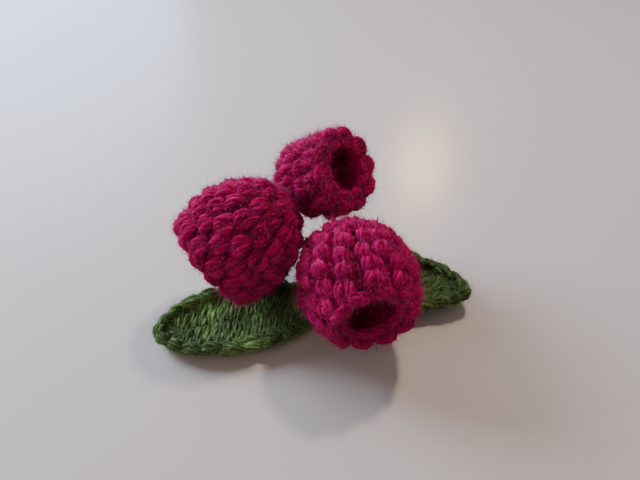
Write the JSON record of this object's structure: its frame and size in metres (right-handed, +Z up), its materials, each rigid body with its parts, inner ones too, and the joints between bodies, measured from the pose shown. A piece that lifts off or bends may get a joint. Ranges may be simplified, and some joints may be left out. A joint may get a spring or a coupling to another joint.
{
  "type": "crocheted raspberry sprig",
  "caption": "Soft crocheted raspberry sprig: hollow crimson berries with open mouths, sewn tip to tip over a pair of cupped green leaves that it rests on.",
  "frame": {"origin": "on the surface the sprig rests on, under the middle of its bounding box", "axes": "+Z up, +X along the pair of leaves towards the right leaf's tip, -Y to the front, where the front berry's mouth opens"},
  "size_m": [0.0742, 0.0506, 0.039],
  "materials": {
    "raspberry_yarn": "soft matte crimson yarn with a fuzzy halo",
    "leaf_yarn": "soft matte green yarn with a fuzzy halo"
  },
  "bodies": {
    "root": {"left_berry": "raspberry_yarn", "front_berry": "raspberry_yarn", "top_berry": "raspberry_yarn", "left_leaf": "leaf_yarn", "right_leaf": "leaf_yarn", "berry_tack_front": "raspberry_yarn", "berry_tack_top": "raspberry_yarn", "leaf_tack_left": "raspberry_yarn", "leaf_tack_middle": "raspberry_yarn", "leaf_tack_right": "raspberry_yarn"}
  },
  "joints": []
}
